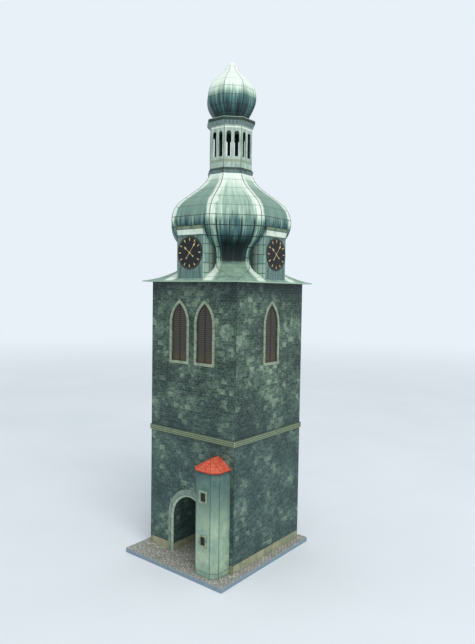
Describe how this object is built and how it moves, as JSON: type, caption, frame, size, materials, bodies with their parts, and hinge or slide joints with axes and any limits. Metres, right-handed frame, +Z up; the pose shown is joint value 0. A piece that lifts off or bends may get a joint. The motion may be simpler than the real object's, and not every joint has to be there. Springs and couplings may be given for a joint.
{
  "type": "card model of a bell tower over a gate",
  "caption": "Printed card model of a square bell tower with an arched passage, a stair turret, clock dormers, an onion dome and an open lantern, on a board base.",
  "frame": {"origin": "on the axis of the square shaft, at the underside of the base board", "axes": "+Z up, the arch and the stair turret face -Y, +X to the right of someone who faces the arch"},
  "size_m": [0.0576, 0.0653, 0.2264],
  "materials": {
    "grey_board": "bare cut edge, matte",
    "cobble_print": "printed, matte",
    "stone_print": "printed, matte",
    "trim_print": "printed, matte",
    "moulding_print": "printed, matte",
    "louvre_print": "printed, matte",
    "plaster_print": "printed, matte",
    "tile_print": "printed, matte",
    "black_print": "printed, matte",
    "copper_print": "printed, matte",
    "dormer_print": "printed, matte",
    "dial_print": "printed, matte",
    "dark_print": "printed, matte",
    "lantern_print": "printed, matte"
  },
  "bodies": {
    "root": {"base_board": "grey_board", "cobble_sheet": "cobble_print", "front_pier_left": "stone_print", "front_pier_right": "stone_print", "front_arch_wall": "stone_print", "back_pier_left": "stone_print", "back_pier_right": "stone_print", "back_arch_wall": "stone_print", "lower_wall_left": "stone_print", "lower_wall_right": "stone_print", "passage_side_left": "stone_print", "passage_side_right": "stone_print", "passage_vault": "stone_print", "upper_wall_front": "stone_print", "upper_wall_right": "stone_print", "upper_wall_back": "stone_print", "upper_wall_left": "stone_print", "arch_surround_front": "trim_print", "arch_surround_back": "trim_print", "window_surrounds": "trim_print", "turret_window_surrounds": "trim_print", "string_course": "moulding_print", "louvre_panels": "louvre_print", "turret_wall": "plaster_print", "turret_roof": "tile_print", "turret_window_panels": "black_print", "eaves_plate": "copper_print", "gore_front": "copper_print", "gore_front_right": "copper_print", "gore_right": "copper_print", "gore_back_right": "copper_print", "gore_back": "copper_print", "gore_back_left": "copper_print", "gore_left": "copper_print", "gore_front_left": "copper_print", "dormer_hoods": "copper_print", "upper_onion": "copper_print", "lantern_cornice": "copper_print", "dormer_front": "dormer_print", "dormer_right": "dormer_print", "dormer_back": "dormer_print", "dormer_left": "dormer_print", "clock_dials": "dial_print", "lantern_base": "dark_print", "lantern_wall": "lantern_print"}
  },
  "joints": []
}
